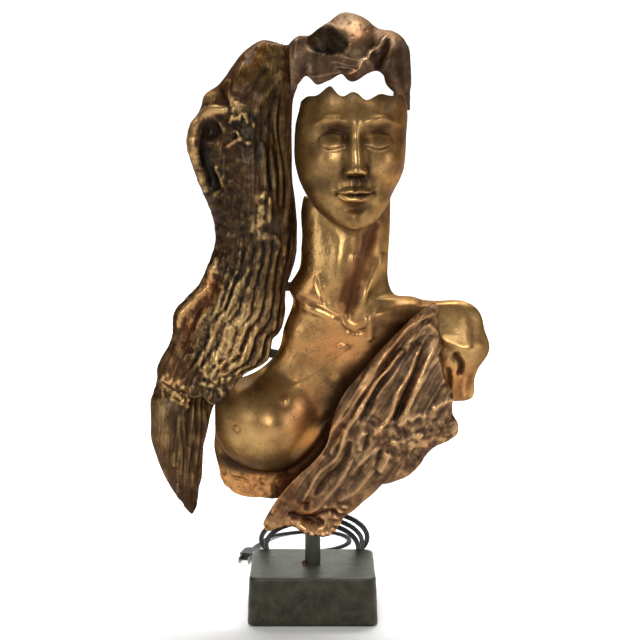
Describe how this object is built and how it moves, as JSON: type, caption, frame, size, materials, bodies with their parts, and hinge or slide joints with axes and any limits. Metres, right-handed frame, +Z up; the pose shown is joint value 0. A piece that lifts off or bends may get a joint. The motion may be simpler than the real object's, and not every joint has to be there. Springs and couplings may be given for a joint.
{
  "type": "figural table lamp",
  "caption": "Figural table lamp: open-backed cast bronze bust with flowing hair and a fan of drapery, on a post and a heavy block, with a lampholder hidden behind the head.",
  "frame": {"origin": "centre of the block's footprint, on the underside of the felt pad", "axes": "+Z up, the figure faces -Y, +X is to the right of someone who looks at the face"},
  "size_m": [0.3865, 0.396, 0.6912],
  "materials": {
    "bust_bronze": "polished golden bronze with brown patina",
    "face_bronze": "polished golden bronze",
    "hair_bronze": "dark patinated bronze with rubbed ridges",
    "cloth_bronze": "brown patinated bronze with rubbed folds",
    "braze": "rough braze",
    "strap": "dark oiled steel",
    "block": "dark waxed patina with hand-worked streaks",
    "felt": "dark felt",
    "post": "grey-olive patina",
    "plated_steel": "zinc plated",
    "socket_brass": "plain brass sheet",
    "card": "plain card",
    "porcelain": "unglazed",
    "cap_aluminium": "bright rolled",
    "black_plastic": "satin black",
    "cord": "satin black twin cord",
    "bulb_glass": "white inside-frosted glass"
  },
  "bodies": {
    "lamp": {"torso": "bust_bronze", "face_mask": "face_bronze", "hair_crown": "hair_bronze", "hair_fall": "hair_bronze", "hair_tail": "hair_bronze", "drapery": "cloth_bronze", "jaw_lugs": "braze", "drapery_lugs": "braze", "tail_lugs": "braze", "breast_lug": "braze", "side_strap_upper": "strap", "side_strap_lower": "strap", "head_strap": "strap", "base_block": "block", "felt_pad": "felt", "post": "post", "braze_bead": "braze", "tie_rod": "plated_steel", "foot_washer": "plated_steel", "foot_nut": "plated_steel", "post_boss": "post", "boss_nut": "plated_steel", "spine_bar": "strap", "torso_pillars": "braze", "spine_screws": "plated_steel", "lamp_bracket": "plated_steel", "bracket_screws": "plated_steel", "socket_cap": "socket_brass", "socket_shell": "socket_brass", "socket_liner": "card", "socket_insert": "porcelain", "screw_shell": "cap_aluminium", "centre_contact": "socket_brass", "nipple": "plated_steel", "nipple_nut": "plated_steel", "cord_bush": "black_plastic", "cord_drop": "cord", "cord_coil": "cord", "cord_tail": "cord", "plug_relief": "black_plastic", "plug_body": "black_plastic", "plug_blades": "socket_brass"},
    "knob": {"switch_knob": "black_plastic"},
    "bulb": {"bulb_glass": "bulb_glass", "bulb_cap": "cap_aluminium", "bulb_contact": "black_plastic"}
  },
  "joints": [
    {"name": "switch_turn", "type": "hinge", "parent": "lamp", "child": "knob", "pos_m": [0.038, 0.031, 0.43], "axis": [0, 1, 0], "continuous": true},
    {"name": "bulb_lift", "type": "slide", "parent": "lamp", "child": "bulb", "axis": [0, 0, 1], "range_m": [0, 0.026]}
  ]
}
